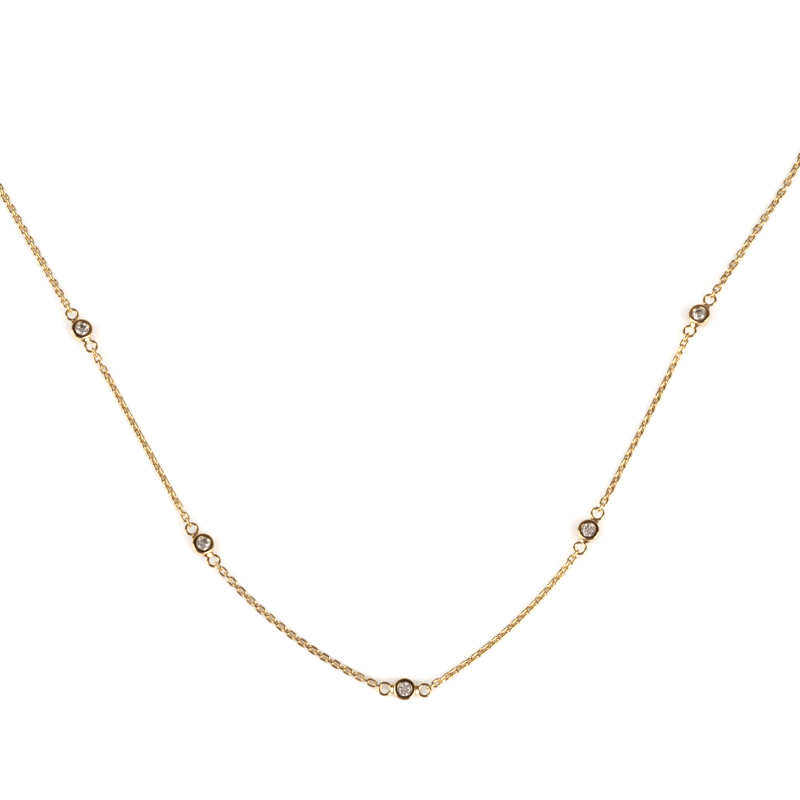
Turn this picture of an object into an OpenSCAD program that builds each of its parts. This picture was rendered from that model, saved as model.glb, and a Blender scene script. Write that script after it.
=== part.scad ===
// Diamond station necklace: small round stones in rim settings, joined by a
// fine cable chain and closed by a spring ring at the back.
// Millimetres, +Z up. The necklace lies in a loop on z = 0 with its stones
// facing up, its front towards -Y, and the middle of the loop at the origin.

/* [Chain] */
// Width of a link
link_w = 1.14; // [1.04:0.02:1.2]
// Diameter of the link wire
link_wire = 0.28; // [0.22:0.02:0.3]
// Longest step from one link to the next
link_pitch = 0.91; // [0.85:0.01:1.1]
// Step from one link to the next at the sides
side_pitch = 0.895; // [0.85:0.005:0.91]
// Room left between two links
link_gap = 0.135; // [0.1:0.005:0.14]
// Links over which the chain turns from standing in a ring to lying
turn_links = 4; // [3:1:8]
// Links over which the chain comes down from a ring to the surface
drop_links = 6; // [4:1:10]

/* [Settings] */
// Diameter over the rim of a setting
rim_d = 3; // [2.8:0.05:3.2]
// Width of the domed rim
rim_w = 0.48; // [0.4:0.02:0.56]
// Height of a setting
setting_h = 1.8; // [1.7:0.05:2.2]
// Diameter of a setting at its base
base_d = 2.55; // [2.4:0.05:2.8]
// Diameter of the hole in the base, under the point of the stone
base_hole_d = 1; // [0.8:0.05:1.2]
// Bevel round the base
base_bevel = 0.08; // [0.04:0.01:0.12]

/* [Rings] */
// Diameter over an end ring
ring_d = 1.95; // [1.9:0.05:2.1]
// Diameter of the ring wire
ring_wire = 0.34; // [0.28:0.02:0.36]
// Height of the end rings above the base of a setting
ring_h = 1; // [0.8:0.05:1.1]
// From the middle of a setting to the middle of an end ring
ring_reach = 2.65; // [2.6:0.05:2.75]
// Width of a ring's solder neck at the ring
neck_w = 0.7; // [0.5:0.05:0.8]
// Width of a ring's solder neck at the setting
neck_wide_w = 1.1; // [0.8:0.05:1.2]
// Thickness of the solder necks
neck_h = 0.42; // [0.3:0.02:0.5]

/* [Stones] */
// Diameter of a stone at its girdle
stone_d = 2.2; // [2.1:0.02:2.22]
// Width of the table, as a share of the girdle
table_share = 0.57; // [0.53:0.01:0.62]
// Height of the crown, as a share of the girdle
crown_share = 0.16; // [0.14:0.01:0.17]
// Depth of the pavilion, as a share of the girdle
pavilion_share = 0.43; // [0.41:0.01:0.44]
// Thickness of the girdle
girdle_h = 0.06; // [0.04:0.01:0.08]
// Clearance between a stone and its setting
stone_gap = 0.065; // [0.055:0.005:0.075]

/* [Loop] */
// Radius of the hidden stretch round the back of the neck
back_r = 64.5; // [60:0.5:68]
// Links at the clasp end of each side
clasp_links = 5; // [3:1:10]
// Rings in the solid of each hidden stretch
tube_rings = 40; // [24:1:40]
// Gap between the solid of a hidden stretch and the links beside it
tube_gap = 0.15; // [0.1:0.01:0.3]

/* [Clasp] */
// Diameter over the spring ring
clasp_d = 5; // [4.6:0.1:5.6]
// Diameter of the spring ring's tube
clasp_tube = 0.7; // [0.6:0.02:0.76]
// Diameter of the tongue that closes the ring
tongue_d = 0.46; // [0.4:0.02:0.56]
// Angle that the tongue spans
tongue_angle = 60; // [45:1:75]
// Diameter of the knob that draws the tongue back
knob_d = 0.5; // [0.4:0.05:0.6]
// Height of the knob above the ring
knob_h = 0.7; // [0.5:0.05:0.9]
// Diameter over the catch ring
catch_d = 2.25; // [2.2:0.05:2.4]
// From the middle of the spring ring's tube out to the middle of the catch ring
catch_out = 0.25; // [0.2:0.01:0.3]
// From the middle of the spring ring's tube up to the middle of the catch ring
catch_up = 0.15; // [0.1:0.01:0.2]

/* [Hidden] */
$fn = 32;
gold = [0.83, 0.66, 0.36];
ice = [0.88, 0.89, 0.92];

// Columns of the stations table: place from the front setting, heading of the
// chain through the setting, and how far its face leans into the loop
X = 0;
Y = 1;
HEADING = 2;
LEAN = 3;
stations = [
    [-44.53, 49.25, -58.6, 17],
    [-27.24, 19.4, -54.7, 16],
    [0, 0, -2, 0],
    [24.9, 21.32, 62.3, 11],
    [40.77, 51.36, 57, 18],
];

// Columns of the runs table, one row from each setting to the next: how far
// the run bows outwards, and how far its links roll out of line with its rings
BOW = 0;
TIP = 1;
runs = [
    [0.05, 45],
    [1.65, 22],
    [1.5, -45],
    [0.2, -45],
];

// Columns of the sides table, left then right: side of the loop, heading away
// from the front, links beside the setting, twist from link to link, tip, and
// how far the link at the clasp is rolled from lying flat
SIDE = 0;
AWAY = 1;
LINKS = 2;
STEP_TWIST = 3;
SIDE_TIP = 4;
CLASP_ROLL = 5;
sides = [
    [-1, 120.4, 24, 0, 22, 90],
    [1, 55.9, 27, 12.9, 0, 0],
];
LEFT = 0;
RIGHT = 1;

// Columns of a link's place: its middle, heading, slope and roll
PLACE = 0;
ALONG = 1;
SLOPE = 2;
ROLL = 3;

link_bend_r = (link_w - link_wire) / 2;
link_len = link_pitch + link_gap + 2 * link_wire;
link_straight = link_len - link_w;
drop_len = drop_links * link_pitch;
slope_step = 0.1;

ring_r = (ring_d - ring_wire) / 2;
hook_in = ring_r - (ring_wire + link_wire) / 2 - link_gap;
first_link = hook_in + (link_len - link_wire) / 2;

rim_z = setting_h - rim_w / 2;
rim_mid_r = (rim_d - rim_w) / 2;
base_flat_r = base_d / 2 - base_bevel;

stone_r = stone_d / 2;
table_r = table_share * stone_r;
crown_h = crown_share * stone_d;
pavilion_h = pavilion_share * stone_d;
pavilion_angle = atan(pavilion_h / stone_r);
seat_r = stone_r + stone_gap;
girdle_z = rim_z - girdle_h
    - sqrt(pow(rim_w / 2 + stone_gap, 2) - pow(rim_mid_r - stone_r, 2));

tube_sides = 8;
tube_turn = 360 / tube_sides;
tube_r = link_w / 2 / cos(tube_turn / 2);
lying_z = link_w / 2;

clasp_r = (clasp_d - clasp_tube) / 2;
clasp_reach = clasp_r + clasp_tube / 2 + ring_r - ring_wire / 2;
tail_z = lying_z;
tongue_at = -60;
knob_past = 15;
catch_r = (catch_d - ring_wire) / 2;
catch_z = catch_d / 2;
clasp_span = clasp_reach + clasp_r + catch_out + catch_r - ring_r;
clasp_tilt = asin((catch_z - catch_up - tail_z) / (ring_r + clasp_reach + clasp_r));

station_count = len(stations);

// Unit vectors along a heading and to its left
function along(a) = [cos(a), sin(a)];
function left_of(a) = [-sin(a), cos(a)];

// Where a line through p with heading a crosses a line through q with heading b
function crossing(p, a, q, b) = p + along(a) * cross(q - p, along(b)) / cross(along(a), along(b));

// Middle of a setting's first end ring (end = -1) or second end ring (end = 1)
function ring_at(k, end) =
    [stations[k][X], stations[k][Y]] + end * ring_reach * along(stations[k][HEADING]);

// Height of a leaning setting's rings when the edge of its base touches z = 0
function ring_z(k) = ring_h * cos(stations[k][LEAN]) + base_flat_r * sin(stations[k][LEAN]);

// Height at which a link hooks a setting's ring, where the ring faces a given way
function hook_z(k, away) =
    ring_z(k) - ring_r * sin(away - stations[k][HEADING]) * sin(stations[k][LEAN]);

// How far a link reaches below its middle at a given roll
function link_low(roll) = link_bend_r * abs(sin(roll)) + link_wire / 2;

// The same for a row whose links are rolled a quarter turn from one to the next
function row_low(roll) = max(link_low(roll), link_low(roll + 90));

// Goes from 1 at a ring to 0 over the links beside it
function fade(i) = max(0, 1 - i / turn_links);

// Goes smoothly from 1 at the first link to 0 where the chain lies
function ease(s) =
    let (u = min(1, max(0, (s - first_link) / drop_len)))
    1 - u * u * (3 - 2 * u);

// Height of a chain's middle, s along a stretch of a given length
function chain_z(s, length, from_z, to_z, rest_z) =
    rest_z + (from_z - rest_z) * ease(s) + (to_z - rest_z) * ease(length - s);

function chain_slope(s, length, from_z, to_z, rest_z) =
    atan((chain_z(s + slope_step, length, from_z, to_z, rest_z)
        - chain_z(s - slope_step, length, from_z, to_z, rest_z)) / (2 * slope_step));

// Runs between settings are arcs that bow away from the middle of the loop
function run_chord(k) = ring_at(k + 1, -1) - ring_at(k, 1);
function run_r(k) = (pow(norm(run_chord(k)), 2) / 4 + pow(runs[k][BOW], 2)) / (2 * runs[k][BOW]);
function run_half_turn(k) = asin(norm(run_chord(k)) / (2 * run_r(k)));
function run_len(k) = 2 * run_half_turn(k) * PI / 180 * run_r(k);
function run_heading(k, s) =
    atan2(run_chord(k).y, run_chord(k).x) - run_half_turn(k) + s / run_r(k) * 180 / PI;
function run_at(k, s) =
    ring_at(k, 1) + run_r(k) * (left_of(run_heading(k, 0)) - left_of(run_heading(k, s)));
function run_from_z(k) = hook_z(k, run_heading(k, 0));
function run_to_z(k) = hook_z(k + 1, run_heading(k, run_len(k)) + 180);

// An odd number of links, so that both end links stand across their rings
function run_links(k) = 1 + 2 * ceil((run_len(k) - 2 * first_link) / (2 * link_pitch));
function run_pitch(k) = (run_len(k) - 2 * first_link) / (run_links(k) - 1);
function run_rest_z(k) = row_low(runs[k][TIP]);
function run_roll(k, i) =
    let (last = run_links(k) - 1)
    90 * (i + 1)
        - stations[k][LEAN] * fade(i)
        - stations[k + 1][LEAN] * fade(last - i)
        + runs[k][TIP] * (1 - fade(i)) * (1 - fade(last - i));
function run_link(k, i) =
    let (
        s = first_link + i * run_pitch(k),
        roll = run_roll(k, i),
        z = chain_z(s, run_len(k), run_from_z(k), run_to_z(k), run_rest_z(k)),
        slope = chain_slope(s, run_len(k), run_from_z(k), run_to_z(k), run_rest_z(k))
    )
    [[run_at(k, s).x, run_at(k, s).y, max(z, link_low(roll))], run_heading(k, s), slope, roll];

// The sides leave the front as straight lines that touch the arc at the back
side_start = [ring_at(0, -1), ring_at(station_count - 1, 1)];
side_start_z = [hook_z(0, sides[LEFT][AWAY]), hook_z(station_count - 1, sides[RIGHT][AWAY])];
side_lean = [stations[0][LEAN], -stations[station_count - 1][LEAN]];
side_end_z = [tail_z, catch_z];
function side_inset(s) =
    side_start[s] + sides[s][SIDE] * back_r * left_of(sides[s][AWAY]);
loop_middle = crossing(side_inset(LEFT), sides[LEFT][AWAY], side_inset(RIGHT), sides[RIGHT][AWAY]);
function side_straight(s) = (loop_middle - side_start[s]) * along(sides[s][AWAY]);
function side_turn(s) = s == LEFT ? sides[LEFT][AWAY] : 180 - sides[RIGHT][AWAY];
function side_len(s) = side_straight(s) + side_turn(s) * PI / 180 * back_r - clasp_span / 2;
function side_heading(s, t) =
    sides[s][AWAY] + sides[s][SIDE] * max(0, t - side_straight(s)) / back_r * 180 / PI;
function side_at(s, t) =
    t < side_straight(s)
        ? side_start[s] + t * along(sides[s][AWAY])
        : loop_middle - sides[s][SIDE] * back_r * left_of(side_heading(s, t));
function side_rest_z(s) = sides[s][STEP_TWIST] == 0 ? row_low(sides[s][SIDE_TIP]) : lying_z;
function side_z(s, t, rest_z) = chain_z(t, side_len(s), side_start_z[s], side_end_z[s], rest_z);
function side_place(s, t, rest_z, roll) = [
    [side_at(s, t).x, side_at(s, t).y, max(side_z(s, t, rest_z), link_low(roll))],
    side_heading(s, t),
    chain_slope(t, side_len(s), side_start_z[s], side_end_z[s], rest_z),
    roll
];
function side_roll(s, i) =
    90 * (i + 1)
        + side_lean[s] * fade(i)
        + sides[s][STEP_TWIST] * i
        + sides[s][SIDE_TIP] * (1 - fade(i));
function front_link(s, i) =
    side_place(s, first_link + i * side_pitch, side_rest_z(s), side_roll(s, i));
function clasp_link(s, i) =
    side_place(s, side_len(s) - first_link - i * side_pitch, lying_z, sides[s][CLASP_ROLL] + 90 * i);

// Length that a row of links takes up, from the middle of its ring
function row_len(count) = first_link + (count - 1) * side_pitch + link_len / 2 + tube_gap;

// The loop is moved so that the middle of its outline is at the origin
loop_top = side_at(LEFT, side_len(LEFT)).y + clasp_d / 2;
loop_bottom = -rim_d / 2;
loop_shift = [-loop_middle.x, -(loop_top + loop_bottom) / 2, 0];

module in_loop() {
    translate(loop_shift) children();
}

// A round wire ring lying in the XY plane
module wire_ring(r, wire) {
    rotate_extrude() translate([r, 0]) circle(d = wire);
}

// One oval link lying in the XY plane, its long way along X
module link() {
    for (end = [-1, 1]) {
        translate([end * link_straight / 2, 0, 0])
            rotate([0, 0, -90 * end])
                rotate_extrude(angle = 180) translate([link_bend_r, 0]) circle(d = link_wire);
        translate([0, end * link_bend_r, 0])
            rotate([0, 90, 0]) cylinder(d = link_wire, h = link_straight, center = true);
    }
}

// Loose links, each at its place
module chain(places) {
    color(gold) for (p = places) {
        translate(p[PLACE]) rotate([p[ROLL], -p[SLOPE], p[ALONG]]) link();
    }
}

module chain_run(k) {
    chain([for (i = [0:run_links(k) - 1]) run_link(k, i)]);
}

module side_chain(s) {
    chain(concat(
        [for (i = [0:sides[s][LINKS] - 1]) front_link(s, i)],
        [for (i = [0:clasp_links - 1]) clasp_link(s, i)]
    ));
}

// The hidden stretch of a side, as wide as the chain
module back_chain(s) {
    from = row_len(sides[s][LINKS]);
    to = side_len(s) - row_len(clasp_links);
    points = [
        for (i = [0:tube_rings - 1])
            let (
                t = from + (to - from) * i / (tube_rings - 1),
                at = side_at(s, t),
                across = left_of(side_heading(s, t)),
                z = side_z(s, t, lying_z)
            )
            for (j = [0:tube_sides - 1])
                let (turn = tube_turn * (j + 0.5), out = tube_r * cos(turn))
                [at.x + out * across.x, at.y + out * across.y, z + tube_r * sin(turn)]
    ];
    function corner(i, j) = tube_sides * i + j % tube_sides;
    walls = [
        for (i = [0:tube_rings - 2], j = [0:tube_sides - 1])
            [corner(i, j), corner(i, j + 1), corner(i + 1, j + 1), corner(i + 1, j)]
    ];
    ends = [
        [for (j = [tube_sides - 1:-1:0]) corner(0, j)],
        [for (j = [0:tube_sides - 1]) corner(tube_rings - 1, j)]
    ];
    color(gold) polyhedron(points, concat(walls, ends));
}

// Section of a setting from its axis outwards, with the seat that the stone
// sits in and the round rim that laps over its edge
module setting_section() {
    seat_z = girdle_z + stone_gap * tan(pavilion_angle) - stone_gap / cos(pavilion_angle);
    hole_r = base_hole_d / 2;
    hole_z = seat_z - (seat_r - hole_r) * tan(pavilion_angle);
    polygon([
        [hole_r, 0],
        [base_flat_r, 0],
        [base_d / 2, base_bevel],
        [rim_d / 2, rim_z],
        [seat_r, rim_z],
        [seat_r, seat_z],
        [hole_r, hole_z],
    ]);
    translate([rim_mid_r, rim_z]) circle(d = rim_w);
}

// The solder between a setting's wall and the wire of an end ring
module neck() {
    from = seat_r + stone_gap;
    to = ring_reach - ring_r;
    translate([0, 0, -neck_h / 2]) linear_extrude(neck_h) polygon([
        [from, -neck_wide_w / 2],
        [to, -neck_w / 2],
        [to, neck_w / 2],
        [from, neck_wide_w / 2],
    ]);
}

// A setting with its two end rings, soldered into one piece
module setting_piece() {
    translate([0, 0, -ring_h]) rotate_extrude() setting_section();
    for (turn = [0, 180]) rotate([0, 0, turn]) {
        translate([ring_reach, 0, 0]) wire_ring(ring_r, ring_wire);
        neck();
    }
}

// A place at station k, with X along the chain and its ring plane on Z = 0
module at_station(k) {
    translate([stations[k][X], stations[k][Y], ring_z(k)])
        rotate([-stations[k][LEAN], 0, stations[k][HEADING]])
            children();
}

module setting(k) {
    color(gold) at_station(k) setting_piece();
}

// A round brilliant, with its girdle's lower edge on Z = 0
module brilliant() {
    half_facet = 180 / 8;
    mid_r = (table_r * cos(half_facet) + stone_r) / 2;
    mid_z = crown_h * (stone_r - mid_r * cos(half_facet)) / (stone_r - table_r);
    low_r = 0.25 * stone_r;
    low_z = -pavilion_h * (1 - low_r * cos(half_facet) / stone_r);
    function corners(count, r, turn, z) =
        [for (j = [0:count - 1]) [r * cos(360 * j / count + turn), r * sin(360 * j / count + turn), z]];
    table = 0;
    mid = 8;
    upper = 16;
    lower = 32;
    low = 48;
    point = 56;
    points = concat(
        corners(8, table_r, 0, girdle_h + crown_h),
        corners(8, mid_r, half_facet, girdle_h + mid_z),
        corners(16, stone_r, 0, girdle_h),
        corners(16, stone_r, 0, 0),
        corners(8, low_r, half_facet, low_z),
        [[0, 0, -pavilion_h]]
    );
    faces = concat(
        [[for (k = [7:-1:0]) table + k]],
        [for (k = [0:7]) [table + k, table + (k + 1) % 8, mid + k]],
        [for (k = [0:7]) [table + k, mid + k, upper + 2 * k, mid + (k + 7) % 8]],
        [for (k = [0:7]) [mid + k, upper + 2 * k + 1, upper + 2 * k]],
        [for (k = [0:7]) [mid + k, upper + (2 * k + 2) % 16, upper + 2 * k + 1]],
        [for (j = [0:15]) [upper + j, upper + (j + 1) % 16, lower + (j + 1) % 16, lower + j]],
        [for (k = [0:7]) [low + k, lower + 2 * k, lower + 2 * k + 1]],
        [for (k = [0:7]) [low + k, lower + 2 * k + 1, lower + (2 * k + 2) % 16]],
        [for (k = [0:7]) [point, low + (k + 7) % 8, lower + 2 * k, low + k]]
    );
    polyhedron(points, faces);
}

module stone(k) {
    color(ice) at_station(k) translate([0, 0, girdle_z - ring_h]) brilliant();
}

// A spring ring drawn as one plain piece, with its tail ring at the origin
module clasp_piece() {
    tube_from = tongue_at + tongue_angle / 2;
    wire_ring(ring_r, ring_wire);
    translate([clasp_reach, 0, 0]) {
        rotate([0, 0, tube_from]) {
            rotate_extrude(angle = 360 - tongue_angle) translate([clasp_r, 0]) circle(d = clasp_tube);
            rotate_extrude(angle = -tongue_angle) translate([clasp_r, 0]) circle(d = tongue_d);
        }
        rotate([0, 0, tube_from - tongue_angle - knob_past]) translate([clasp_r, 0, 0])
            rotate([0, 90, 0]) cylinder(d = knob_d, h = clasp_tube / 2 + knob_h);
    }
}

module clasp() {
    tail = side_at(LEFT, side_len(LEFT));
    tail_up = ring_r * sin(clasp_tilt);
    color(gold) translate([tail.x, tail.y, tail_z + tail_up]) rotate([0, -clasp_tilt, 0]) clasp_piece();
}

// A ring standing through the spring ring, which the last link hooks into
module catch_ring() {
    t = side_len(RIGHT) + catch_r - ring_r;
    middle = side_at(RIGHT, t);
    color(gold) translate([middle.x, middle.y, catch_z])
        rotate([90, 0, side_heading(RIGHT, t)]) wire_ring(catch_r, ring_wire);
}

for (k = [1:station_count]) {
    in_loop() setting(k - 1);
    in_loop() stone(k - 1);
}
for (k = [1:station_count - 1]) {
    in_loop() chain_run(k - 1);
}
in_loop() side_chain(LEFT);  // side_chain_left
in_loop() side_chain(RIGHT);  // side_chain_right
in_loop() back_chain(LEFT);  // back_chain_left
in_loop() back_chain(RIGHT);  // back_chain_right
in_loop() clasp();
in_loop() catch_ring();
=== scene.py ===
"""The looks of a diamond station necklace: cable chain, rim settings, round stones, spring ring.

Lengths here are in metres. Each link, setting and stone takes its place from the packed frame.
"""

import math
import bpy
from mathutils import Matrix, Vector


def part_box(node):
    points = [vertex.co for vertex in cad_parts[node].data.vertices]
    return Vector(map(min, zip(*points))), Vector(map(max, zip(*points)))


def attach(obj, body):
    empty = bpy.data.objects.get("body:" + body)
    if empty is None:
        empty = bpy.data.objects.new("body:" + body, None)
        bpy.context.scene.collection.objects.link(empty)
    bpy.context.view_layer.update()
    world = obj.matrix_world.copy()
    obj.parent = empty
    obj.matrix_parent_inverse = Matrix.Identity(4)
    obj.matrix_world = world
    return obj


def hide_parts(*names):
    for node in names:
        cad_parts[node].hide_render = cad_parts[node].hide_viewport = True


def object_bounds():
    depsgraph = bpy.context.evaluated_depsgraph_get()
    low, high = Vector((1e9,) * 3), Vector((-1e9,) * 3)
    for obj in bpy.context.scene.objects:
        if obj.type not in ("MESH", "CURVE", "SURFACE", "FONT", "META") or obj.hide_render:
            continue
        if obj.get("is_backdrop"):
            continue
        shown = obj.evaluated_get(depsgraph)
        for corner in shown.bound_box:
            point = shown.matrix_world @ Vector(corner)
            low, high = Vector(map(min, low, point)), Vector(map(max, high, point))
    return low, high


bl_info = {
    "name": "Diamond station necklace",
    "version": (1, 0, 0),
    "blender": (4, 5, 0),
    "location": "3D View > Sidebar > Necklace",
    "description": "A fine gold chain with small round diamonds in rim settings",
    "category": "Object",
}

import bpy
import numpy as np
from bpy.props import FloatProperty, FloatVectorProperty, IntProperty, PointerProperty
from bpy.types import Operator, Panel, PropertyGroup
from mathutils import Vector

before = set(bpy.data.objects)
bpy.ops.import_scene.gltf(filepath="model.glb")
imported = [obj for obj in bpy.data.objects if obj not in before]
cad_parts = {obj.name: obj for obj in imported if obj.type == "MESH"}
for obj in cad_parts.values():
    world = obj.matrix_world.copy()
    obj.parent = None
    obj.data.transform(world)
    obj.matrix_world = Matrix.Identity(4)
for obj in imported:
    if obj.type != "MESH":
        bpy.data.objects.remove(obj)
cad_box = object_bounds()

MM = 0.001
FULL_TURN = 2 * math.pi
ALONG_X = np.array([1.0, 0.0, 0.0])
ALONG_Y = np.array([0.0, 1.0, 0.0])
UP = np.array([0.0, 0.0, 1.0])

STATIONS = (1, 2, 3, 4, 5)

# Corners of the frame that are nearer to each other than this are one
SAME_POINT = 0.0005 * MM

# Faces that turn from each other by more than this meet in a sharp edge
SHARP_TURN = math.radians(42)


# Sizes and colours

def length(name, description, millimetres):
    """A size that the sidebar shows with its unit."""
    return FloatProperty(
        name=name, description=description, default=millimetres * MM, min=0.0,
        unit="LENGTH", precision=5,
    )


def share(name, description, value):
    """A part of a whole, from 0 to 1."""
    return FloatProperty(
        name=name, description=description, default=value, min=0.0, max=1.0, subtype="FACTOR"
    )


def angle(name, description, degrees):
    """An angle that the sidebar shows in degrees."""
    return FloatProperty(
        name=name, description=description, default=math.radians(degrees), subtype="ANGLE"
    )


def number(name, description, value, least):
    """A whole number that is never under the least one."""
    return IntProperty(name=name, description=description, default=value, min=least)


def colour(name, description, value):
    """A linear colour."""
    return FloatVectorProperty(
        name=name, description=description, default=value, min=0.0, max=1.0, size=3, subtype="COLOR"
    )


class NecklaceChain(PropertyGroup):
    """Sizes of the cable chain."""

    width: length("Link width", "Width of a link over its wire", 1.14)
    wire: length("Wire", "Diameter of the wire of a link", 0.33)
    play: length("Play", "Room left between two links that pull on each other", 0.04)
    stray: angle("Stray", "How far a link may tilt from its place in the row", 1.3)
    shift: length("Shift", "How far a link may lie from its place in the row", 0.006)
    settle: number("Settling links", "Links over which a hidden row comes down to rest", 8, 1)
    wire_sides: number("Wire sides", "Sides round the wire", 12, 6)
    bend_steps: number("Bend steps", "Steps round each end of a link", 12, 4)


class NecklaceSetting(PropertyGroup):
    """Sizes of a rim setting and of the end rings soldered to it."""

    across: length("Width", "Diameter over the rim", 3.0)
    rim: length("Rim", "Width of the domed rim", 0.48)
    lip: length("Lip", "How far the rim is pushed on over the stone", 0.1)
    lip_width: length("Lip width", "From the inner edge of the rim to its crest", 0.12)
    lip_fall: length("Lip fall", "From the crest of the rim down to its inner edge", 0.2)
    rim_fall: length("Rim fall", "From the crest of the rim down to its widest part", 0.34)
    base: length("Base", "Diameter at the base", 2.55)
    bevel: length("Bevel", "Bevel round the base", 0.08)
    hole: length("Hole", "Diameter of the hole under the stone", 1.0)
    seat_gap: length("Seat gap", "Room between the stone and its seat", 0.065)
    ripple: length("Ripple", "How far the hand-set rim waves", 0.02)
    ring: length("Ring", "Diameter over an end ring", 2.0)
    ring_wire: length("Ring wire", "Diameter of the wire of an end ring", 0.4)
    ring_height: length("Ring height", "Height of the end rings above the base", 1.0)
    ring_reach: length("Ring reach", "From the middle of the setting to the middle of a ring", 2.65)
    turn_steps: number("Turn steps", "Steps round the setting", 96, 16)


class NecklaceStone(PropertyGroup):
    """Proportions of a round brilliant."""

    across: length("Width", "Diameter at the girdle", 2.2)
    table: share("Table", "Width of the table over the width of the stone", 0.57)
    crown: share("Crown", "Height of the crown over the width of the stone", 0.16)
    pavilion: share("Pavilion", "Depth of the pavilion over the width of the stone", 0.43)
    girdle: length("Girdle", "Thickness of the girdle", 0.06)
    lower: share("Lower facets", "Inner reach of the lower girdle facets", 0.25)
    turn: angle("Turn", "Turn of each stone from the one before", 17)


class NecklaceClasp(PropertyGroup):
    """Sizes of the spring ring and of the ring that it closes on."""

    across: length("Width", "Diameter over the spring ring", 5.0)
    tube: length("Tube", "Diameter of the spring ring's tube", 0.7)
    tongue: length("Tongue", "Diameter of the tongue", 0.46)
    tongue_span: angle("Tongue span", "Angle that the tongue closes", 60)
    tongue_at: angle("Tongue place", "Where the middle of the tongue is", -60)
    knob: length("Knob", "Diameter of the knob that draws the tongue back", 0.5)
    knob_height: length("Knob height", "Height of the knob above the tube", 0.7)
    knob_past: angle("Knob place", "From the end of the tongue to the knob", 15)
    catch: length("Catch ring", "Diameter over the catch ring", 2.25)


class NecklaceFinish(PropertyGroup):
    """Colours of the metal, the stones and the surface that the necklace lies on."""

    gold: colour("Gold", "Polished yellow gold", (0.93, 0.74, 0.43))
    warm_gold: colour("Warm gold", "Gold where it is handled least", (0.88, 0.65, 0.38))
    chain_gold: colour("Chain gold", "Polished yellow gold of the chain", (0.92, 0.745, 0.42))
    warm_chain_gold: colour("Warm chain gold", "Chain where it is handled least", (0.87, 0.66, 0.37))
    stone: colour("Stone", "Body of the stones", (1.0, 0.925, 0.87))
    floor: colour("Surface", "Pale surface under the necklace", (0.91, 0.925, 0.95))


class NecklaceView(PropertyGroup):
    """Where the camera stands."""

    elevation: angle("Elevation", "Height of the camera above the surface", 77.5)
    distance: length("Distance", "From the camera to what it looks at", 305.1)
    lens: FloatProperty(name="Lens", description="Focal length", default=100.0, min=1.0, unit="CAMERA")
    target: FloatVectorProperty(
        name="Target",
        description="Point that the camera looks at",
        default=(1.13 * MM, -44.95 * MM, 0.5 * MM),
        size=3,
        subtype="TRANSLATION",
        unit="LENGTH",
    )


# Places read from the frame

def welded(node):
    """Corners and triangles of a node of the frame, with corners that meet made one."""
    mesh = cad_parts[node].data
    corners = np.empty(len(mesh.vertices) * 3)
    mesh.vertices.foreach_get("co", corners)
    corners = corners.reshape(-1, 3)
    mesh.calc_loop_triangles()
    triangles = np.empty(len(mesh.loop_triangles) * 3, int)
    mesh.loop_triangles.foreach_get("vertices", triangles)
    steps = np.round(corners / SAME_POINT).astype(int)
    _, first, index = np.unique(steps, axis=0, return_index=True, return_inverse=True)
    return corners[first], index.ravel()[triangles].reshape(-1, 3)


def solids(node):
    """The loose solids of a node, each as the node's corners and its own triangles."""
    corners, triangles = welded(node)
    # Corners take the lowest label in their triangles until each solid has one label
    label = np.arange(len(corners))
    while True:
        lowest = label.copy()
        np.minimum.at(lowest, triangles.ravel(), np.repeat(label[triangles].min(axis=1), 3))
        lowest = lowest[lowest]
        if (lowest == label).all():
            break
        label = lowest
    for name in np.unique(label):
        yield corners, triangles[label[triangles[:, 0]] == name]


class Place:
    """Middle of a solid, and its long, middle and thin ways as the columns of axes."""

    def __init__(self, middle, axes):
        self.middle = middle
        self.axes = axes

    def put(self, points):
        """Points of the solid's own frame, put in their place."""
        return points @ self.axes.T + self.middle

    def put_shell(self, shell):
        """A shell of the solid's own frame, put in its place."""
        points, faces = shell
        return self.put(points), faces

    def own(self, points):
        """Points in place, as the solid's own frame has them."""
        return (points - self.middle) @ self.axes


def place_of(corners, triangles):
    """The place of a solid, from the spread of its surface."""
    p = corners[triangles]
    area = np.linalg.norm(np.cross(p[:, 1] - p[:, 0], p[:, 2] - p[:, 0]), axis=1)[:, None]
    middle = (area * p.mean(axis=1)).sum(axis=0) / area.sum()
    p = p - middle
    whole = p.sum(axis=1)
    # The second moments of a triangle come from its three corners and their sum
    spread = np.einsum("ij,ikl,ikm->lm", area, p, p) + (area * whole).T @ whole
    _, ways = np.linalg.eigh(spread)
    return Place(middle, ways[:, ::-1])


def only_place(node):
    """The place of a node that is a single solid."""
    return place_of(*next(solids(node)))


def faced(place, along):
    """The place turned so that its long way follows along and its thin way points up."""
    x, z = place.axes[:, 0], place.axes[:, 2]
    x = x if x @ along >= 0 else -x
    z = z if z[2] >= 0 else -z
    return Place(place.middle, np.column_stack([x, np.cross(z, x), z]))


def loop_circle():
    """Middle and radius of the circle that best fits the hidden stretches."""
    flat = np.vstack([welded(f"back_chain_{side}")[0] for side in ("left", "right")])[:, :2]
    terms = np.column_stack([2 * flat, np.ones(len(flat))])
    fit = np.linalg.lstsq(terms, (flat**2).sum(axis=1), rcond=None)[0]
    return fit[:2], math.sqrt(fit[2] + fit[:2] @ fit[:2])


def turn_about(middle, point):
    """Angle of a point about the loop's middle, from the clasp round by the left to the right."""
    x, y = point[:2] - middle
    return math.atan2(-x, y) % FULL_TURN


def link_places(node, middle):
    """Places of a node's links in their order round the loop."""
    places = [place_of(*solid) for solid in solids(node)]
    places.sort(key=lambda place: turn_about(middle, place.middle))
    ends = [places[0], *places, places[-1]]
    return [faced(p, b.middle - a.middle) for a, p, b in zip(ends, places, ends[2:])]


def setting_place(station):
    """A setting's place, with its middle on the axis at the base."""
    corners, triangles = next(solids(f"setting_{station}"))
    place = faced(place_of(corners, triangles), ALONG_X)
    own = place.own(corners)
    base = (own.min(axis=0) + own.max(axis=0)) / 2
    base[2] = own[:, 2].min()
    return Place(place.put(base), place.axes)


# Shells: points and the faces between them

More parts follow.
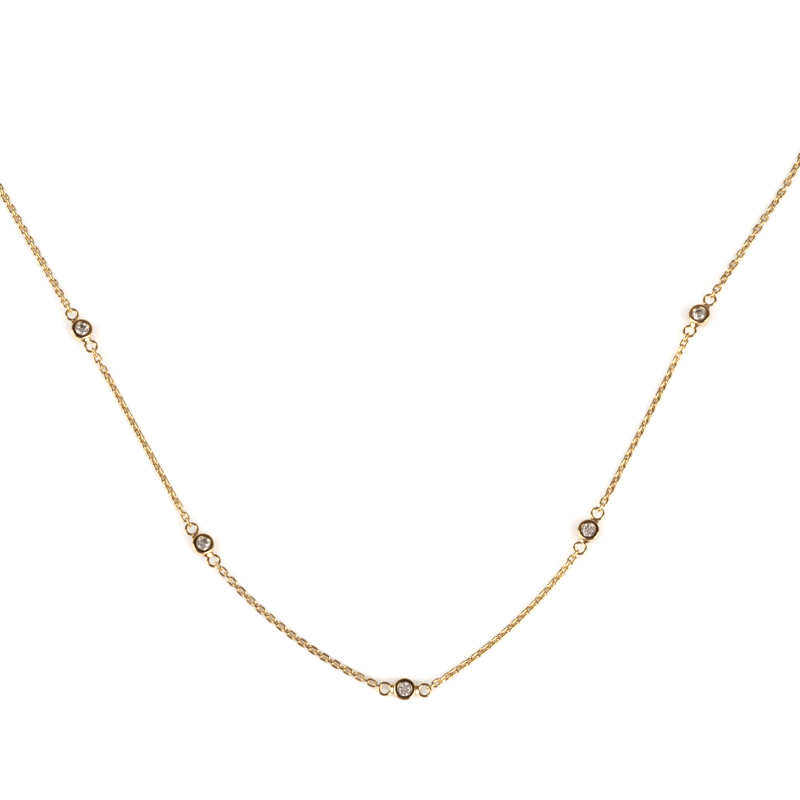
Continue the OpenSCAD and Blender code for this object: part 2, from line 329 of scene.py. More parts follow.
def even_angles(count):
    """Angles spaced evenly over a full turn."""
    return np.arange(count) * FULL_TURN / count


def unit_circle(angles):
    """Points at those angles on the unit circle in the XY plane."""
    return np.column_stack([np.cos(angles), np.sin(angles), np.zeros(len(angles))])


def wall(rows, columns, closed):
    """Faces between rows of points. Each row is a ring, and closed joins the last to the first."""
    i = np.arange(rows if closed else rows - 1)[:, None]
    j = np.arange(columns)[None, :]
    a, b = i * columns, (i + 1) % rows * columns
    k = (j + 1) % columns
    return np.stack([a + j, a + k, b + k, b + j], axis=-1).reshape(-1, 4).tolist()


def sweep(centres, sideways, upwards, half_widths, half_heights, sides, closed=False):
    """A shell with an oval section round a line. sideways cross upwards points along the line.

    Ways and halves are given once for the whole line, or once for each of its points.
    """
    count = len(centres)
    turn = even_angles(sides)
    sideways, upwards = (np.broadcast_to(way, (count, 3))[:, None] for way in (sideways, upwards))
    wide, high = (np.broadcast_to(half, count)[:, None] for half in (half_widths, half_heights))
    out = (wide * np.cos(turn))[..., None] * sideways + (high * np.sin(turn))[..., None] * upwards
    points = (centres[:, None] + out).reshape(-1, 3)
    faces = wall(count, sides, closed)
    if not closed:
        faces.append(list(range(sides))[::-1])
        faces.append(list(range(len(points) - sides, len(points))))
    return points, faces


def arc_tube(radius, wire_radii, start, span, sides, steps):
    """Round wire bent to an arc in the XY plane. A full turn closes on itself."""
    closed = span >= FULL_TURN
    outward = unit_circle(start + span * np.arange(steps) / (steps if closed else steps - 1))
    return sweep(radius * outward, UP, outward, wire_radii, wire_radii, sides, closed)


def wire_ring(across, wire, steps):
    """A ring of round wire in the XY plane."""
    return arc_tube((across - wire) / 2, wire / 2, start=0, span=FULL_TURN, sides=18, steps=steps)


def revolve(outline, steps):
    """A shell of revolution about Z. outline is a closed loop of radius and height, anticlockwise."""
    a = even_angles(steps)
    r, z = np.array(outline).T
    points = np.stack([np.outer(np.cos(a), r), np.outer(np.sin(a), r), np.tile(z, (steps, 1))], axis=-1)
    return points.reshape(-1, 3), [face[::-1] for face in wall(steps, len(r), closed=True)]


def arc(middle, radius, start, stop, steps):
    """Points of a circle in a section, angles in degrees."""
    return [
        (middle[0] + radius * math.cos(a), middle[1] + radius * math.sin(a))
        for a in np.radians(np.linspace(start, stop, steps + 1))
    ]


def squarish_arc(middle, half_width, half_height, start, stop, steps):
    """Points of a rounded section with a flatter top than an oval's, angles in degrees."""
    power = 2 / 3
    return [
        (
            middle[0] + half_width * math.copysign(abs(math.cos(a)) ** power, math.cos(a)),
            middle[1] + half_height * math.copysign(abs(math.sin(a)) ** power, math.sin(a)),
        )
        for a in np.radians(np.linspace(start, stop, steps + 1))
    ]


def turned(shell, turn):
    """A shell turned about Z."""
    points, faces = shell
    c, s = math.cos(turn), math.sin(turn)
    return points @ np.array([[c, s, 0], [-s, c, 0], [0, 0, 1]]), faces


def moved(shell, by):
    """A shell moved in a straight line."""
    points, faces = shell
    return points + by, faces


def joined(shells):
    """Several shells as one list of points and one of faces."""
    points, faces, count = [], [], 0
    for shell_points, shell_faces in shells:
        points.append(shell_points)
        faces += [[i + count for i in face] for face in shell_faces]
        count += len(shell_points)
    return np.vstack(points), faces


def add_piece(name, shell, material, nodes, smooth=True):
    """Makes a piece that stands for nodes of the frame."""
    points, faces = shell
    mesh = bpy.data.meshes.new(name)
    mesh.from_pydata(points.tolist(), [], faces)
    if smooth:
        mesh.shade_smooth()
        mesh.set_sharp_from_angle(angle=SHARP_TURN)
    mesh.materials.append(material)
    piece = bpy.data.objects.new(name, mesh)
    bpy.context.scene.collection.objects.link(piece)
    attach(piece, "root")
    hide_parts(*nodes)


# Chain

def link_shell(chain, pitch):
    """One link in the XY plane, as long as its step along the chain needs."""
    bend = (chain.width - chain.wire) / 2
    half_straight = (pitch + 2 * chain.wire + chain.play - chain.width) / 2
    end = np.linspace(-math.pi / 2, math.pi / 2, chain.bend_steps + 1)
    outward = unit_circle(np.concatenate([end, end + math.pi]))
    centres = bend * outward
    centres[:, 0] += np.repeat([half_straight, -half_straight], len(end))
    return sweep(centres, UP, outward, chain.wire / 2, chain.wire / 2, chain.wire_sides, closed=True)


def strayed(place, chain, chance):
    """A place with the small tilt and shift of a link that nothing holds straight."""
    x, y, z = chance.uniform(-chain.stray, chain.stray, 3)
    tilt = np.array([[1, -z, y], [z, 1, -x], [-y, x, 1]])
    axes, _ = np.linalg.qr(place.axes @ tilt)
    axes = axes * np.sign((axes * place.axes).sum(axis=0))
    return Place(place.middle + chance.uniform(-chain.shift, chain.shift, 3) * [1, 1, 0], axes)


def on_surface(points):
    """Points lifted to touch the surface, where they would reach below it."""
    return points + [0, 0, max(0.0, -points[:, 2].min())]


def chain_shell(places, chain, seed):
    """A row of links, one at each place. The two end links hang in rings that keep them straight."""
    chance = np.random.default_rng(seed)
    middles = np.array([p.middle for p in places])
    pitch = np.linalg.norm(np.diff(middles, axis=0), axis=1).mean()
    points, faces = link_shell(chain, pitch)
    placed = [strayed(place, chain, chance) for place in places]
    placed[0], placed[-1] = places[0], places[-1]
    return joined([(on_surface(place.put(points)), faces) for place in placed])


def roll_of(place):
    """How far a link is rolled about its length from lying flat."""
    x, y = place.axes[:, 0], place.axes[:, 1]
    left = np.cross(UP, x)
    return math.atan2(y[2], y @ left / np.linalg.norm(left))


def hidden_places(before, after, pitch, chain, middle, radius):
    """Places of the links that fill the arc between two rows of links.

    Each is rolled a quarter turn on from the one before it, with a little drift so that the last
    of them suits the row after. They come down from the heights of the two rows to rest.
    """
    start, stop = turn_about(middle, before.middle), turn_about(middle, after.middle)
    steps = max(2, round(radius * abs(stop - start) / pitch))
    quarter = math.pi / 2
    roll = roll_of(before)
    drift = (roll_of(after) - roll - steps * quarter + quarter) % math.pi - quarter
    rolls = [roll + i * quarter + drift * i / steps for i in range(steps + 1)]
    bend = (chain.width - chain.wire) / 2

    def resting_height(roll):
        """Height of the middle of a link that rests on the surface."""
        return chain.wire / 2 + bend * max(abs(math.cos(roll)), abs(math.sin(roll)))

    lift_before = before.middle[2] - resting_height(rolls[0])
    lift_after = after.middle[2] - resting_height(rolls[-1])
    way = math.copysign(1, stop - start)
    places = []
    for i in range(1, steps):
        at = start + (stop - start) * i / steps
        out = np.array([-math.sin(at), math.cos(at), 0.0])
        x = way * np.array([-math.cos(at), -math.sin(at), 0.0])
        y = math.cos(rolls[i]) * np.cross(UP, x) + math.sin(rolls[i]) * UP
        lift = lift_before * max(0, 1 - i / chain.settle)
        lift += lift_after * max(0, 1 - (steps - i) / chain.settle)
        link_middle = [*middle, 0] + radius * out + [0, 0, resting_height(rolls[i]) + lift]
        places.append(Place(link_middle, np.column_stack([x, y, np.cross(x, y)])))
    return places


def side_places(side, chain, middle, radius):
    """Places of all links of a side, from its outer setting round to the clasp."""
    places = link_places(f"side_chain_{side}", middle)
    gaps = [np.linalg.norm(b.middle - a.middle) for a, b in zip(places, places[1:])]
    # The hidden stretch is in the widest gap
    split = int(np.argmax(gaps)) + 1
    pitch = float(np.median(gaps))
    hidden = hidden_places(places[split - 1], places[split], pitch, chain, middle, radius)
    return places[:split] + hidden + places[split:]


class NECKLACE_OT_chains(Operator):
    """Lay the links of the chain, in runs between settings and round both sides"""

    bl_idname = "necklace.chains"
    bl_label = "Chains"

    def execute(self, context):
        chain = context.scene.necklace_chain
        finish = context.scene.necklace_finish
        metal = gold("chain_gold", finish.chain_gold, finish.warm_chain_gold, wear=0.8)
        middle, radius = loop_circle()
        for station in STATIONS[:-1]:
            node = f"chain_{station}_{station + 1}"
            shell = chain_shell(link_places(node, middle), chain, station)
            add_piece(f"links_{station}_{station + 1}", shell, metal, [node])
        for seed, side in enumerate(("left", "right"), start=len(STATIONS)):
            nodes = [f"side_chain_{side}", f"back_chain_{side}"]
            shell = chain_shell(side_places(side, chain, middle, radius), chain, seed)
            add_piece(f"links_{side}", shell, metal, nodes)
        return {"FINISHED"}


# Settings

# How many waves of each kind a rim has round it
RIM_WAVES = (3, 5, 8, 13)

# Half widths and half heights of the solder in ring wires, at points from the cup (0) to the ring (1)
SOLDER_AT = (0, 0.25, 0.5, 0.8, 1)
SOLDER_WIDTHS = (2.75, 2.42, 1.92, 1.54, 1.43)
SOLDER_HEIGHTS = (1.4, 1.15, 0.8, 0.55, 0.42)


def waved(points, setting, height, chance):
    """Points of a cup whose rim has been pushed over by hand, so that it waves a little."""
    turn = np.arctan2(points[:, 1], points[:, 0])
    wave = np.zeros((2, len(points)))
    for count in RIM_WAVES:
        phases = chance.uniform(0, FULL_TURN, 2)
        wave += np.cos(count * turn + phases[:, None]) / math.sqrt(count)
    wave = (wave - wave.max()) * setting.ripple / len(RIM_WAVES)
    # Below this share of the height nothing waves
    still_share = 0.7
    near_rim = np.clip(points[:, 2] / (height - setting.rim) - still_share, 0, 1)
    points = points.copy()
    radius = np.hypot(points[:, 0], points[:, 1])
    points[:, :2] *= (1 + wave[0] * near_rim / radius)[:, None]
    points[:, 2] += wave[1] * near_rim
    return points


def rim_outline(setting, height):
    """The rim from its widest part over the crest to the lip: it falls away outwards."""
    crest_r = setting.across / 2 - setting.rim - setting.lip + setting.lip_width
    outer = (crest_r, height - setting.rim_fall), setting.across / 2 - crest_r, setting.rim_fall
    inner = (crest_r, height - setting.lip_fall), setting.lip_width, setting.lip_fall
    return [
        *squarish_arc(*outer, start=-8, stop=90, steps=22),
        *squarish_arc(*inner, start=96, stop=200, steps=14),
    ]


def cup_shell(setting, stone, height, chance):
    """The cup with its seat for the stone and the domed rim that holds it."""
    dome = setting.rim / 2
    rim_z = height - dome
    rim_mid = (setting.across - setting.rim) / 2
    base_r, bevel, hole_r = setting.base / 2, setting.bevel, setting.hole / 2
    stone_r = stone.across / 2
    seat_r = stone_r + setting.seat_gap
    # The girdle's top edge keeps the seat gap from a plain round rim
    girdle_top = rim_z - math.sqrt((dome + setting.seat_gap) ** 2 - (rim_mid - stone_r) ** 2)
    # The seat slopes as the pavilion does, and keeps the same gap from it
    slope = 2 * stone.pavilion
    seat_z = girdle_top - stone.girdle - setting.seat_gap * (math.hypot(1, slope) - slope)
    lip_z = girdle_top + setting.seat_gap / 3
    outline = [
        (hole_r, bevel / 2),
        (hole_r + bevel / 2, 0),
        (base_r - bevel, 0),
        *arc((base_r - bevel, bevel), bevel, start=-60, stop=0, steps=3),
        *rim_outline(setting, height),
        (stone_r, lip_z),
        (seat_r, lip_z),
        (seat_r, seat_z),
        (hole_r, seat_z - (seat_r - hole_r) * slope),
    ]
    points, faces = revolve(outline, setting.turn_steps)
    return waved(points, setting, height, chance), faces


def solder_shell(setting, height, chance):
    """The solder between the cup and a ring. It starts in the cup's wall and narrows to the ring."""
    wall_r = setting.base / 2 + (setting.across - setting.base) / 2 * setting.ring_height / height
    ring_r = (setting.ring - setting.ring_wire) / 2
    # From inside the wall to just past the middle of the ring's wire
    start = 0.9 * wall_r
    stop = setting.ring_reach - ring_r + 0.1 * setting.ring_wire
    steps, sides = 14, 24
    t = np.linspace(0, 1, steps)
    centres = np.column_stack([start + (stop - start) * t, 0 * t, 0 * t])
    lumps = chance.uniform(0.95, 1.03, (2, steps))
    wide = np.interp(t, SOLDER_AT, SOLDER_WIDTHS) * setting.ring_wire * lumps[0]
    high = np.interp(t, SOLDER_AT, SOLDER_HEIGHTS) * setting.ring_wire * lumps[1]
    points, faces = sweep(centres, ALONG_Y, UP, wide, high, sides)
    # The start is bent to follow the wall, so that its edges don't stick out beside the cup
    aside = np.minimum(np.abs(points[:, 1]), start)
    points[:, 0] -= np.repeat(1 - t, sides) * (start - np.sqrt(start**2 - aside**2))
    # Strips from edge to edge follow the bend, where the one face of the start would cut across
    strips = [[-j % sides, (-j - 1) % sides, j + 1, j] for j in range(sides // 2)]
    faces[-2:-1] = [list(dict.fromkeys(strip)) for strip in strips]
    return points, faces


def setting_shell(setting, stone, height, seed):
    """A cup with two end rings soldered to it."""
    chance = np.random.default_rng(seed)
    shells = [cup_shell(setting, stone, height, chance)]
    for side in (0, math.pi):
        ring = moved(wire_ring(setting.ring, setting.ring_wire, steps=72), [setting.ring_reach, 0, 0])
        end = joined([ring, solder_shell(setting, height, chance)])
        shells.append(moved(turned(end, side), [0, 0, setting.ring_height]))
    return joined(shells)


class NECKLACE_OT_settings(Operator):
    """Make the rim settings with their end rings"""

    bl_idname = "necklace.settings"
    bl_label = "Settings"

    def execute(self, context):
        scene = context.scene
        finish = scene.necklace_finish
        metal = gold("setting_gold", finish.gold, finish.warm_gold, wear=1.0)
        # The middle setting lies level, so its box has the height of them all
        low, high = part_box("setting_3")
        for station in STATIONS:
            shell = setting_shell(scene.necklace_setting, scene.necklace_stone, high.z - low.z, station)
            shell = setting_place(station).put_shell(shell)
            add_piece(f"rim_setting_{station}", shell, metal, [f"setting_{station}"])
        return {"FINISHED"}


# Stones

# Main facets round a brilliant. Its girdle has two edges for each.
MAINS = 8


def brilliant_shell(stone):
    """A round brilliant with its point at the origin."""
    half = math.pi / MAINS
    r, depth = stone.across / 2, stone.across * stone.pavilion
    table_r, crown = stone.table * r, stone.crown * stone.across
    mid_r = (table_r * math.cos(half) + r) / 2
    mid_z = crown * (r - mid_r * math.cos(half)) / (r - table_r)
    low_r = stone.lower * r
    low_z = depth * low_r * math.cos(half) / r

    def ring(count, radius, first, z):
        """Points spaced evenly round the axis."""
        a = first + even_angles(count)
        return np.column_stack([radius * np.cos(a), radius * np.sin(a), np.full(count, z)])

    top = depth + stone.girdle
    around = 2 * MAINS
    points = np.vstack([
        ring(MAINS, table_r, 0, top + crown),
        ring(MAINS, mid_r, half, top + mid_z),
        ring(around, r, 0, top),
        ring(around, r, 0, depth),
        ring(MAINS, low_r, half, low_z),
        [[0.0, 0.0, 0.0]],
    ])
    # Where each of those rings starts in the list of points
    table, mid, upper, lower, low, tip = (MAINS * k for k in (0, 1, 2, 4, 6, 7))
    faces = [[table + k for k in range(MAINS)]]
    for k in range(MAINS):
        before, after = (k - 1) % MAINS, (k + 1) % MAINS
        j = 2 * k
        j_after = (j + 2) % around
        faces.append([table + after, table + k, mid + k])
        faces.append([mid + before, upper + j, mid + k, table + k])
        faces.append([mid + k, upper + j, upper + j + 1])
        faces.append([mid + k, upper + j + 1, upper + j_after])
        faces.append([low + k, lower + j + 1, lower + j])
        faces.append([low + k, lower + j_after, lower + j + 1])
        faces.append([tip, low + k, lower + j, low + before])
    for j in range(around):
        after = (j + 1) % around
        faces.append([upper + j, lower + j, lower + after, upper + after])
    return points, faces


class NECKLACE_OT_stones(Operator):
    """Cut the round stones and lay them in their settings"""

    bl_idname = "necklace.stones"
    bl_label = "Stones"

    def execute(self, context):
        stone = context.scene.necklace_stone
        clear = diamond("diamond", context.scene.necklace_finish)
        cut = brilliant_shell(stone)
        for station in STATIONS:
            place = setting_place(station)
            corners, _ = welded(f"stone_{station}")
            tip_z = place.own(corners)[:, 2].min()
            shell = place.put_shell(moved(turned(cut, stone.turn * station), [0, 0, tip_z]))
            nodes = [f"stone_{station}"]
            add_piece(f"brilliant_{station}", shell, clear, nodes, smooth=False)
        return {"FINISHED"}


# Clasp

def rounded_ends(count, radius, end_share):
    """Radii along a tube whose two ends narrow to that share of it, as a round edge does."""
    # About so many steps at either end are narrower
    edge_steps = 4
    t = np.linspace(0, 1, count)
    near = np.clip(np.minimum(t, 1 - t) * count / edge_steps, 0, 1)
    return radius * (end_share + (1 - end_share) * np.sqrt(1 - (1 - near) ** 2))


def knob_shell(clasp):
    """The knob, standing along X from the middle of the tube: a stem that widens to a round head."""
    tall, r = clasp.tube / 2 + clasp.knob_height, clasp.knob / 2
    stem_r = 0.6 * r
    axis_r = 0.0001 * MM
    outline = [
        (axis_r, 0.0),
        (stem_r, 0.0),
        (stem_r, 0.52 * tall),
        (0.75 * r, 0.6 * tall),
        *arc((r * 0.7, tall - 0.32 * r), 0.3 * r, start=-30, stop=90, steps=6),
        (axis_r, tall),
    ]
    points, faces = revolve(outline, steps=32)
    return points[:, [2, 0, 1]], faces


def spring_ring_shell(clasp, setting, reach):
    """The spring ring with its tail ring at the origin, in the XY plane."""
    tube_r = clasp.tube / 2
    ring_r = clasp.across / 2 - tube_r
    tube_from = clasp.tongue_at + clasp.tongue_span / 2
    tongue_from = tube_from - clasp.tongue_span
    # The tongue reaches this far into the tube at either end
    inside = math.radians(8)
    knob = turned(moved(knob_shell(clasp), [ring_r, 0, 0]), tongue_from - clasp.knob_past)
    steps = 120
    tube = arc_tube(
        ring_r, rounded_ends(steps, tube_r, end_share=0.72),
        start=tube_from, span=FULL_TURN - clasp.tongue_span, sides=24, steps=steps,
    )
    tongue = arc_tube(
        ring_r, clasp.tongue / 2,
        start=tongue_from - inside, span=clasp.tongue_span + 2 * inside, sides=20, steps=30,
    )
    tail = wire_ring(setting.ring, setting.ring_wire, steps=64)
    return joined([tail, moved(joined([tube, tongue, knob]), [reach, 0, 0])])


def spring_ring_place(clasp, setting):
    """Place of the spring ring's tail ring, and how far from it the middle of the ring lies."""
    place = faced(only_place("clasp"), ALONG_X)
    low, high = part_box("clasp")
    up = place.axes[:, 2]
    along = np.cross(ALONG_Y, up)
    level = along[0]
    y = high.y - clasp.across / 2

    def on_plane(x):
        """The point with that x in the plane of the ring."""
        off = np.array([x, y, 0.0]) - place.middle
        return np.array([x, y, -(off[0] * up[0] + off[1] * up[1]) / up[2] + place.middle[2]])

    tail = on_plane(low.x + level * setting.ring / 2)
    ring = on_plane(high.x - level * clasp.across / 2)
    axes = np.column_stack([along, np.cross(up, along), up])
    return Place(tail, axes), np.linalg.norm(ring - tail)


class NECKLACE_OT_clasp(Operator):
    """Make the spring ring and the catch ring at the back of the neck"""

    bl_idname = "necklace.clasp"
    bl_label = "Clasp"

    def execute(self, context):
        scene = context.scene
        clasp, setting = scene.necklace_clasp, scene.necklace_setting
        finish = scene.necklace_finish
        metal = gold("clasp_gold", finish.gold, finish.warm_gold, wear=1.3)
        place, reach = spring_ring_place(clasp, setting)
        shell = place.put_shell(spring_ring_shell(clasp, setting, reach))
        add_piece("spring_ring", shell, metal, ["clasp"])
        place = faced(only_place("catch_ring"), UP)
        shell = place.put_shell(wire_ring(clasp.catch, setting.ring_wire, steps=64))
        add_piece("catch_ring_piece", shell, metal, ["catch_ring"])
        return {"FINISHED"}


# Materials

# Most of a noise texture's values lie between these
NOISE_RANGE = (0.3, 0.7)


def new_tree(name):
    """A material with only its shader, and its node tree."""
    material = bpy.data.materials.new(name)
    material.use_nodes = True
    return material, material.node_tree, material.node_tree.nodes["Principled BSDF"]


def add_node(tree, kind, at, **values):
    """A node of that kind. Values are sockets by name, or settings of the node."""
    made = tree.nodes.new(kind)
    made.location = at
    for key, value in values.items():
        name = key.replace("_", " ").title()
        if name in made.inputs:
            made.inputs[name].default_value = value
        else:
            setattr(made, key, value)
    return made


def ranged(tree, at, source, from_range, to_range, **values):
    """A value mapped from one range onto another."""
    span = add_node(tree, "ShaderNodeMapRange", at, **values)
    span.inputs["From Min"].default_value, span.inputs["From Max"].default_value = from_range
    span.inputs["To Min"].default_value, span.inputs["To Max"].default_value = to_range
    tree.links.new(source, span.inputs["Value"])
    return span.outputs["Result"]


def colour_mix(tree, at, factor, first, second):
    """A mix of two colours: the socket of the first of them, and that of the result."""
    mix = add_node(tree, "ShaderNodeMix", at, data_type="RGBA")
    ends = [socket for socket in mix.inputs if socket.type == "RGBA"]
    ends[0].default_value = (*first, 1)
    ends[1].default_value = (*second, 1)
    tree.links.new(factor, mix.inputs["Factor"])
    return ends[0], next(socket for socket in mix.outputs if socket.type == "RGBA")


def handling_marks():
    """Soft smudges and fine scratches of worn metal and glass, as a group for several materials."""
    name = "Handling marks"
    if name in bpy.data.node_groups:
        return bpy.data.node_groups[name]
    group = bpy.data.node_groups.new(name, "ShaderNodeTree")
    for socket in ("Smudge scale", "Scratch scale"):
        group.interface.new_socket(name=socket, in_out="INPUT", socket_type="NodeSocketFloat")
    for socket in ("Smudge", "Scratches", "Patina"):
        group.interface.new_socket(name=socket, in_out="OUTPUT", socket_type="NodeSocketFloat")
    entry = add_node(group, "NodeGroupInput", (-900, 0))
    leave = add_node(group, "NodeGroupOutput", (700, 0))
    where = add_node(group, "ShaderNodeTexCoord", (-900, -200)).outputs["Object"]
    links = group.links

    def noise(at, vector, scale, **values):
        """Noise over that vector, with its scale from a socket."""
        made = add_node(group, "ShaderNodeTexNoise", at, **values)
        links.new(vector, made.inputs["Vector"])
        links.new(scale, made.inputs["Scale"])
        return made.outputs["Fac"]

    smudge_scale = entry.outputs["Smudge scale"]
    smudge = noise((-400, 250), where, smudge_scale, detail=4.0, roughness=0.55)
    links.new(smudge, leave.inputs["Smudge"])

    # The patina's patches are about three times as large as the smudges
    patina_scale = add_node(group, "ShaderNodeMath", (-650, 0), operation="MULTIPLY")
    patina_scale.inputs[1].default_value = 0.31
    links.new(smudge_scale, patina_scale.inputs[0])
    patina = noise((-400, 0), where, patina_scale.outputs[0], detail=2.0, roughness=0.5)
    links.new(patina, leave.inputs["Patina"])

    # Two sets of scratches cross, each the peaks of a noise stretched along its own way
    peaks = (0.58, 0.75)
    both = add_node(group, "ShaderNodeMath", (150, -350), operation="MAXIMUM")
    for i, (turn, y) in enumerate((((0.3, 0.2, 0.5), -250), ((1.2, -0.7, 2.1), -500))):
        stretch = add_node(group, "ShaderNodeMapping", (-650, y), vector_type="TEXTURE")
        stretch.inputs["Rotation"].default_value = turn
        stretch.inputs["Scale"].default_value = (9.0, 1.0, 1.0)
        links.new(where, stretch.inputs["Vector"])
        vector = stretch.outputs["Vector"]
        lines = noise((-400, y), vector, entry.outputs["Scratch scale"], detail=3.0, roughness=0.6)
        links.new(ranged(group, (-150, y), lines, peaks, (0.0, 1.0)), both.inputs[i])
    links.new(both.outputs[0], leave.inputs["Scratches"])
    return group


def marks_node(tree, smudge_scale, scratch_scale=9000.0):
    """The group of handling marks placed in a material."""
    marks = add_node(tree, "ShaderNodeGroup", (-700, 0), node_tree=handling_marks())
    marks.inputs["Smudge scale"].default_value = smudge_scale
    marks.inputs["Scratch scale"].default_value = scratch_scale
    return marks


def gold(name, bright, warm, wear):
    """Polished gold: warmer where it is handled least, with smudges and hairline scratches."""
    material, tree, shader = new_tree(name)
    marks = marks_node(tree, smudge_scale=900.0)
    warmth = ranged(tree, (-500, 250), marks.outputs["Patina"], NOISE_RANGE, (0.0, 0.8))
    _, tint = colour_mix(tree, (-300, 250), warmth, bright, warm)
    tree.links.new(tint, shader.inputs["Base Color"])
    polish = (0.05, 0.05 + 0.13 * wear)
    rough = ranged(tree, (-300, 0), marks.outputs["Smudge"], NOISE_RANGE, polish)
    tree.links.new(rough, shader.inputs["Roughness"])
    bump = add_node(tree, "ShaderNodeBump", (-300, -250), strength=0.25 * wear, distance=0.004 * MM)
    tree.links.new(marks.outputs["Scratches"], bump.inputs["Height"])
    tree.links.new(bump.outputs["Normal"], shader.inputs["Normal"])
    shader.inputs["Metallic"].default_value = 1.0
    return material


def diamond(name, finish):
    """Clear stone with a trace of finger grease on its facets."""
    material, tree, shader = new_tree(name)
    marks = marks_node(tree, smudge_scale=1400.0)
    rough = ranged(tree, (-300, 0), marks.outputs["Smudge"], NOISE_RANGE, (0.0, 0.03))
    tree.links.new(rough, shader.inputs["Roughness"])
    shader.inputs["Base Color"].default_value = (*finish.stone, 1)
    shader.inputs["Transmission Weight"].default_value = 0.95
    shader.inputs["IOR"].default_value = 2.417
    return material


def pale_surface(name, finish):
    """A smooth pale surface with the faint unevenness of card."""
    material, tree, shader = new_tree(name)
    grain = add_node(tree, "ShaderNodeTexNoise", (-700, 0), scale=60.0, detail=5.0)
    where = add_node(tree, "ShaderNodeTexCoord", (-900, 0))
    tree.links.new(where.outputs["Object"], grain.inputs["Vector"])
    rough = ranged(tree, (-300, 0), grain.outputs["Fac"], NOISE_RANGE, (0.5, 0.6))
    tree.links.new(rough, shader.inputs["Roughness"])
    shader.inputs["Base Color"].default_value = (*finish.floor, 1)
    shader.inputs["Specular IOR Level"].default_value = 0.2
    return material


# Stage

FLOOR_REACH = 1.5

ROOM = (0.2, 0.13, 0.094)
WINDOW = (1.4, 1.37, 1.33)
SHADE = (0.035, 0.018, 0.009)

# Each patch of the sky by its side, height, reach and soft edge in degrees, and its colour
SKY_PATCHES = (
    (190, 38, 18, 12, WINDOW),
    (-25, 34, 20, 12, WINDOW),
    (70, 73, 12, 20, SHADE),
)


def towards(side, height):
    """The way to a side and a height in degrees. Side 0 is +X, and side 90 is +Y."""
    side, height = math.radians(side), math.radians(height)
    level = math.cos(height)
    return Vector((level * math.cos(side), level * math.sin(side), math.sin(height)))


def studio_sky(room, patches):
    """A dim warm room with soft patches of light and shade."""
    world = bpy.data.worlds.new("Studio")
    bpy.context.scene.world = world
    world.use_nodes = True
    tree = world.node_tree
    where = add_node(tree, "ShaderNodeTexCoord", (-900, 0))
    sky = None
    for i, (side, height, reach, edge, tone) in enumerate(patches):
        y = -300 * i
        along = add_node(tree, "ShaderNodeVectorMath", (-700, y), operation="DOT_PRODUCT")
        along.inputs[1].default_value = towards(side, height)
        tree.links.new(where.outputs["Generated"], along.inputs[0])
        soft_edge = (math.cos(math.radians(reach + edge)), math.cos(math.radians(reach)))
        inside = ranged(
            tree, (-450, y), along.outputs["Value"], soft_edge, (0.0, 1.0),
            interpolation_type="SMOOTHSTEP",
        )
        under, over = colour_mix(tree, (-200, y), inside, room, tone)
        if sky:
            tree.links.new(sky, under)
        sky = over
    tree.links.new(sky, tree.nodes["Background"].inputs["Color"])


def softbox(name, target, side, height, distance, size, brightness, in_metal=True, in_stones=True):
    """A square soft light towards a side and a height in degrees.

    Metal or stones can be kept from showing it.
    """
    light = bpy.data.lights.new(name, "AREA")
    light.shape = "SQUARE"
    light.size = size
    light.energy = brightness * math.pi * size**2
    lamp = bpy.data.objects.new(name, light)
    lamp.visible_glossy = in_metal
    lamp.visible_transmission = in_stones
    lamp.location = distance * towards(side, height) + Vector(target)
    lamp.rotation_euler = (Vector(target) - lamp.location).to_track_quat("-Z", "Y").to_euler()
    bpy.context.scene.collection.objects.link(lamp)


def add_camera(view):
    """The camera, where the photograph was taken from."""
    data = bpy.data.cameras.new("Camera")
    data.lens = view.lens
    data.sensor_width = 36.0
    data.clip_start = 0.01
    camera = bpy.data.objects.new("Camera", data)
    target = Vector(view.target)
    back = Vector((0, -math.cos(view.elevation), math.sin(view.elevation)))
    camera.location = target + view.distance * back
    camera.rotation_euler = (-back).to_track_quat("-Z", "Y").to_euler()
    bpy.context.scene.collection.objects.link(camera)
    bpy.context.scene.camera = camera


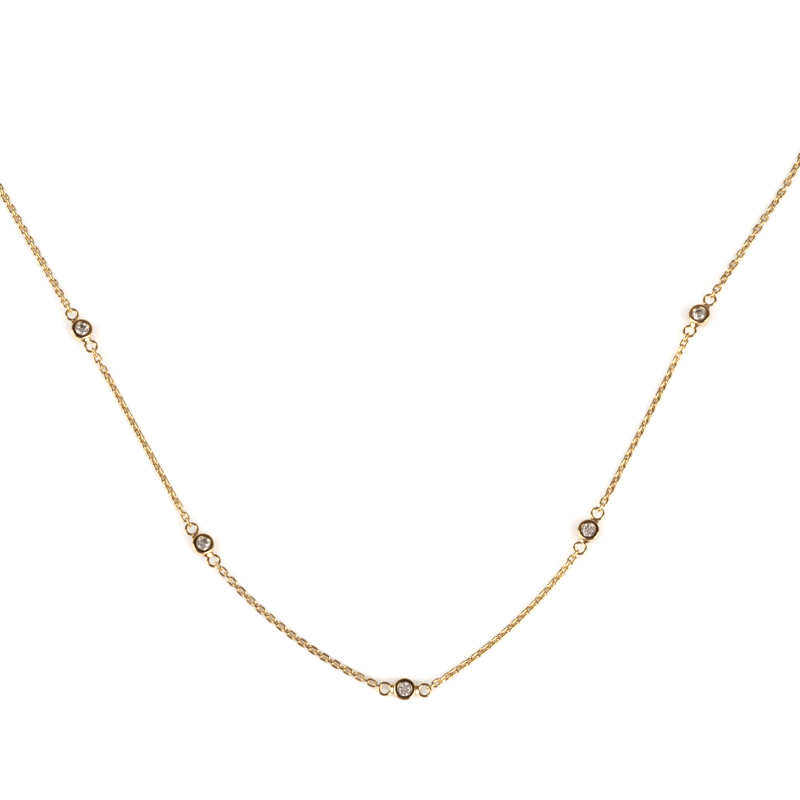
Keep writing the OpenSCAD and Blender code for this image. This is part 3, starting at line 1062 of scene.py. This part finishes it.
def add_floor(finish):
    """The surface that the necklace lies on."""
    reach = FLOOR_REACH
    mesh = bpy.data.meshes.new("surface")
    corners = [(-reach, -reach, 0), (reach, -reach, 0), (reach, reach, 0), (-reach, reach, 0)]
    mesh.from_pydata(corners, [], [(0, 1, 2, 3)])
    mesh.materials.append(pale_surface("pale_surface", finish))
    floor = bpy.data.objects.new("surface", mesh)
    bpy.context.scene.collection.objects.link(floor)
    floor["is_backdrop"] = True


class NECKLACE_OT_stage(Operator):
    """Lay out the pale surface, the soft lights and the camera"""

    bl_idname = "necklace.stage"
    bl_label = "Stage"

    def execute(self, context):
        scene = context.scene
        view = scene.necklace_view
        add_floor(scene.necklace_finish)
        studio_sky(ROOM, SKY_PATCHES)
        windows = {"distance": 0.9, "size": 0.6}
        softbox("window_right", view.target, side=-32, height=38, brightness=2.4, **windows)
        softbox("window_left", view.target, side=185, height=40, brightness=1.6, **windows)
        softbox(
            "ceiling", view.target, side=0, height=90, distance=2.0, size=3.0, brightness=0.95,
            in_metal=False, in_stones=False,
        )
        softbox(
            "stone_light", view.target, side=0, height=90, distance=1.8, size=2.7, brightness=0.5,
            in_metal=False,
        )
        add_camera(view)
        scene.view_settings.view_transform = "Standard"
        return {"FINISHED"}


class NECKLACE_PT_panel(Panel):
    """Sizes, colours and steps of the necklace"""

    bl_idname = "NECKLACE_PT_panel"
    bl_label = "Diamond station necklace"
    bl_space_type = "VIEW_3D"
    bl_region_type = "UI"
    bl_category = "Necklace"

    def draw(self, context):
        for name, kind in GROUPS.items():
            group = getattr(context.scene, name)
            box = self.layout.box()
            box.label(text=kind.__doc__)
            for key in kind.__annotations__:
                box.prop(group, key)
        for step in STEPS:
            self.layout.operator(step.bl_idname)


GROUPS = {
    "necklace_chain": NecklaceChain,
    "necklace_setting": NecklaceSetting,
    "necklace_stone": NecklaceStone,
    "necklace_clasp": NecklaceClasp,
    "necklace_finish": NecklaceFinish,
    "necklace_view": NecklaceView,
}
STEPS = (
    NECKLACE_OT_chains,
    NECKLACE_OT_settings,
    NECKLACE_OT_stones,
    NECKLACE_OT_clasp,
    NECKLACE_OT_stage,
)
CLASSES = (*GROUPS.values(), *STEPS, NECKLACE_PT_panel)


def register():
    for kind in CLASSES:
        bpy.utils.register_class(kind)
    for name, kind in GROUPS.items():
        setattr(bpy.types.Scene, name, PointerProperty(type=kind))


def unregister():
    for name in GROUPS:
        delattr(bpy.types.Scene, name)
    for kind in reversed(CLASSES):
        bpy.utils.unregister_class(kind)


def main():
    register()
    bpy.ops.necklace.chains()
    bpy.ops.necklace.settings()
    bpy.ops.necklace.stones()
    bpy.ops.necklace.clasp()
    bpy.ops.necklace.stage()
    boxes = [[list(corner) for corner in box] for box in (cad_box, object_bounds())]


if __name__ == "__main__":
    main()
